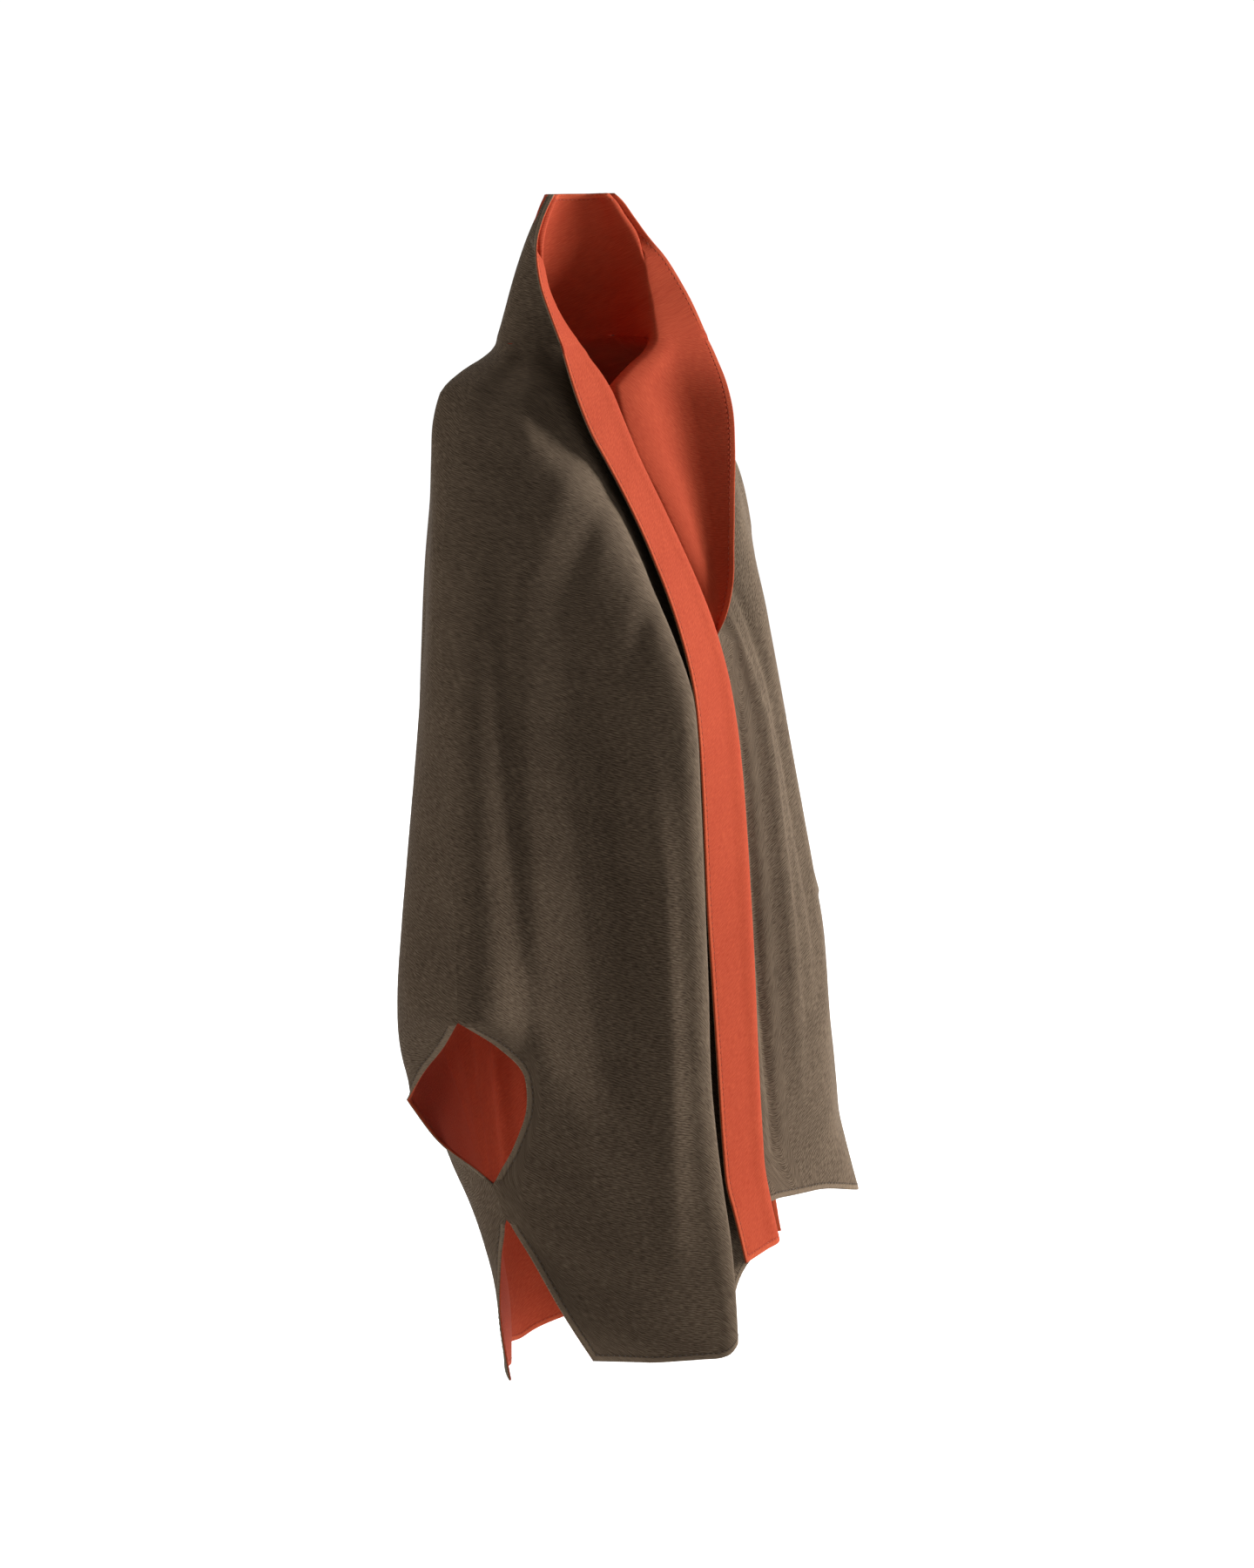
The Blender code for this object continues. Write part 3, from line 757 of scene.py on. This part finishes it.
def stitched(name, net, normals, face, material):
    """One object with the stitches of one face of a piece; face is 1 outside and -1 inside."""
    points, faces = [], []
    margin = STITCH_LINE * MM
    for run in lines_inside(name, net, normals):
        line, ways = run[:, 0], unit_rows(run[:, 1])
        lengths = np.concatenate([[0], np.cumsum(np.linalg.norm(np.diff(line, axis=0), axis=1))])

        def on_run(values, place):
            return np.array([np.interp(place, lengths, values[:, axis]) for axis in range(3)])

        for middle in np.arange(margin, lengths[-1] - margin, PITCH):
            way = unit_rows(on_run(ways, middle)) * face
            faces += stitch_faces(len(points))
            points += stitch_points(on_run(line, middle - STITCH / 2), on_run(line, middle + STITCH / 2), way)
    mesh = bpy.data.meshes.new(f"{name}_stitches")
    mesh.from_pydata([tuple(p) for p in points], [], faces)
    mesh.shade_smooth()
    mesh.materials.append(material)
    stitches = bpy.data.objects.new(f"{name}_stitches_{'outside' if face > 0 else 'inside'}", mesh)
    bpy.context.scene.collection.objects.link(stitches)
    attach(stitches, "root")
    print(stitches.name, "has", len(points) // POINTS_A_STITCH, "stitches")
    return stitches


# %% Sew all the free edges
TWISTS = 1800.0
TWIST_DEPTH = 0.1 * MM


def thread(name, dark, light):
    """A sewing thread with a fine twist."""
    recipe = Recipe(name)
    place = recipe.node("ShaderNodeTexCoord", {}, {}, output=3)
    twist = recipe.node("ShaderNodeTexNoise", {}, {"Vector": place, "Scale": TWISTS, "Detail": 2.0})
    recipe.feed(Base_Color=recipe.mixed(twist, dark, light), Roughness=0.7)
    bump = {"Strength": 0.5, "Distance": TWIST_DEPTH, "Height": twist}
    recipe.feed(Normal=recipe.node("ShaderNodeBump", {}, bump))
    return recipe.material


taupe_thread = thread("taupe_thread", dark=(0.07, 0.052, 0.038, 1), light=(0.2, 0.16, 0.12, 1))
rust_thread = thread("rust_thread", dark=(0.3, 0.05, 0.018, 1), light=(0.6, 0.12, 0.05, 1))
for name, net in nets.items():
    for face, material, slot in ((1, taupe_thread, "taupe_cloth"), (-1, rust_thread, "rust_cloth")):
        stitched(name, net, normals_of[name], face, material)

# %% [markdown]
# ## Floor, light and camera
#
# The cape hangs as it would on a standing figure, so the pale floor lies a neck's height below. A large
# soft light stands at the wearer's front left. A weaker one at their right, a little behind, fills that
# side, and a faint one hangs above. The rest of the room is dim, so that the hollows of the folds stay
# deep. Only past the cape, as the photograph sees it, is the room white, and a wide light over the floor
# there makes the floor white too.

# %% Floor
FLOOR = -1.46
FLOOR_REACH, FLOOR_CELLS = 6.5, 8


def pale_floor():
    mesh = bpy.data.meshes.new("floor")
    plate = bmesh.new()
    bmesh.ops.create_grid(plate, x_segments=FLOOR_CELLS, y_segments=FLOOR_CELLS, size=FLOOR_REACH)
    plate.to_mesh(mesh)
    plate.free()
    mesh.transform(Matrix.Translation((0, 0, FLOOR)))
    recipe = Recipe("pale_floor")
    place = recipe.node("ShaderNodeTexCoord", {}, {}, output=3)
    grain = recipe.node("ShaderNodeTexNoise", {}, {"Vector": place, "Scale": 3.0, "Detail": 3.0})
    recipe.feed(Base_Color=recipe.mixed(grain, (0.86, 0.86, 0.86, 1), (0.9, 0.9, 0.9, 1)), Roughness=0.9)
    mesh.materials.append(recipe.material)
    floor = bpy.data.objects.new("floor", mesh)
    bpy.context.scene.collection.objects.link(floor)
    print("floor", 2 * FLOOR_REACH, "m wide, at", FLOOR, "m")


pale_floor()

# %% Lights
CENTRE = Vector((0, -0.038, -0.38))
# The level way past the cape, as the photograph sees it.
BEHIND = (math.cos(math.radians(30)), math.sin(math.radians(30)))
FLOOR_LIGHT_HEIGHT = 2.4
# The room goes from dim to white between these cosines of the angle from that way.
WHITE_FROM, WHITE_FULL = 0.72, 0.9


def soft_light(name, azimuth, elevation, distance, size, power):
    """A square area light that looks at the cape.

    Azimuth 0 stands at the wearer's front, and 90 at their left.
    """
    lamp = bpy.data.lights.new(name, "AREA")
    lamp.shape = "SQUARE"
    lamp.size = size
    lamp.energy = power
    light = bpy.data.objects.new(name, lamp)
    a, e = math.radians(azimuth), math.radians(elevation)
    away = Vector((math.sin(a) * math.cos(e), -math.cos(a) * math.cos(e), math.sin(e)))
    light.location = CENTRE + distance * away
    light.rotation_euler = away.to_track_quat("Z", "Y").to_euler()
    bpy.context.scene.collection.objects.link(light)


def floor_light(away, size, spread, power):
    """A wide light over the floor behind the cape, narrow enough to leave the cape alone."""
    lamp = bpy.data.lights.new("floor_light", "AREA")
    lamp.shape = "SQUARE"
    lamp.size = size
    lamp.spread = math.radians(spread)
    lamp.energy = power
    light = bpy.data.objects.new("floor_light", lamp)
    light.location = Vector((away * BEHIND[0], away * BEHIND[1], FLOOR_LIGHT_HEIGHT))
    light.rotation_euler = (0, 0, math.atan2(BEHIND[1], BEHIND[0]))
    bpy.context.scene.collection.objects.link(light)


def white_backdrop(dim, bright):
    """A dim room that is white on the far side of the cape, as a lit studio wall is."""
    world = bpy.data.worlds.new("studio")
    world.use_nodes = True
    tree = world.node_tree
    direction = tree.nodes.new("ShaderNodeTexCoord")
    facing = tree.nodes.new("ShaderNodeVectorMath")
    facing.operation = "DOT_PRODUCT"
    facing.inputs[1].default_value = (*BEHIND, 0)
    tree.links.new(direction.outputs["Generated"], facing.inputs[0])
    spread = tree.nodes.new("ShaderNodeMapRange")
    spread.interpolation_type = "SMOOTHSTEP"
    tree.links.new(facing.outputs["Value"], spread.inputs["Value"])
    ranges = {"From Min": WHITE_FROM, "From Max": WHITE_FULL, "To Min": dim, "To Max": bright}
    for socket, value in ranges.items():
        spread.inputs[socket].default_value = value
    background = tree.nodes["Background"]
    background.inputs["Color"].default_value = (1, 1, 1, 1)
    tree.links.new(spread.outputs["Result"], background.inputs["Strength"])
    bpy.context.scene.world = world


soft_light("key", azimuth=50, elevation=18, distance=3.2, size=1.0, power=150)
soft_light("fill", azimuth=-126, elevation=14, distance=3.4, size=1.2, power=24)
soft_light("top", azimuth=-40, elevation=70, distance=2.6, size=1.0, power=5)
floor_light(away=5.2, size=8.4, spread=72, power=350)
white_backdrop(dim=0.08, bright=1.05)
bpy.context.scene.view_settings.view_transform = "Standard"
print("lights:", [lamp.name for lamp in bpy.data.lights])

# %% Camera
CAMERA_AZIMUTH, CAMERA_ELEVATION, CAMERA_DISTANCE = math.radians(-60), math.radians(10), 3.1
PHOTO_HEIGHT, FOCAL_PIXELS, SENSOR = 1800, 4124, 36.0


def photo_camera():
    """A camera at the photograph's angle, with the photograph's focal length."""
    camera = bpy.data.cameras.new("photo_camera")
    camera.sensor_fit = "AUTO"
    camera.sensor_width = SENSOR
    camera.lens = FOCAL_PIXELS / PHOTO_HEIGHT * SENSOR
    stand = bpy.data.objects.new("photo_camera", camera)
    away = Vector((math.sin(CAMERA_AZIMUTH) * math.cos(CAMERA_ELEVATION),
                   -math.cos(CAMERA_AZIMUTH) * math.cos(CAMERA_ELEVATION), math.sin(CAMERA_ELEVATION)))
    stand.location = CENTRE + CAMERA_DISTANCE * away
    stand.rotation_euler = away.to_track_quat("Z", "Y").to_euler()
    bpy.context.scene.collection.objects.link(stand)
    bpy.context.scene.camera = stand
    print("camera at", [round(x, 3) for x in stand.location], "lens", round(camera.lens, 1))


photo_camera()
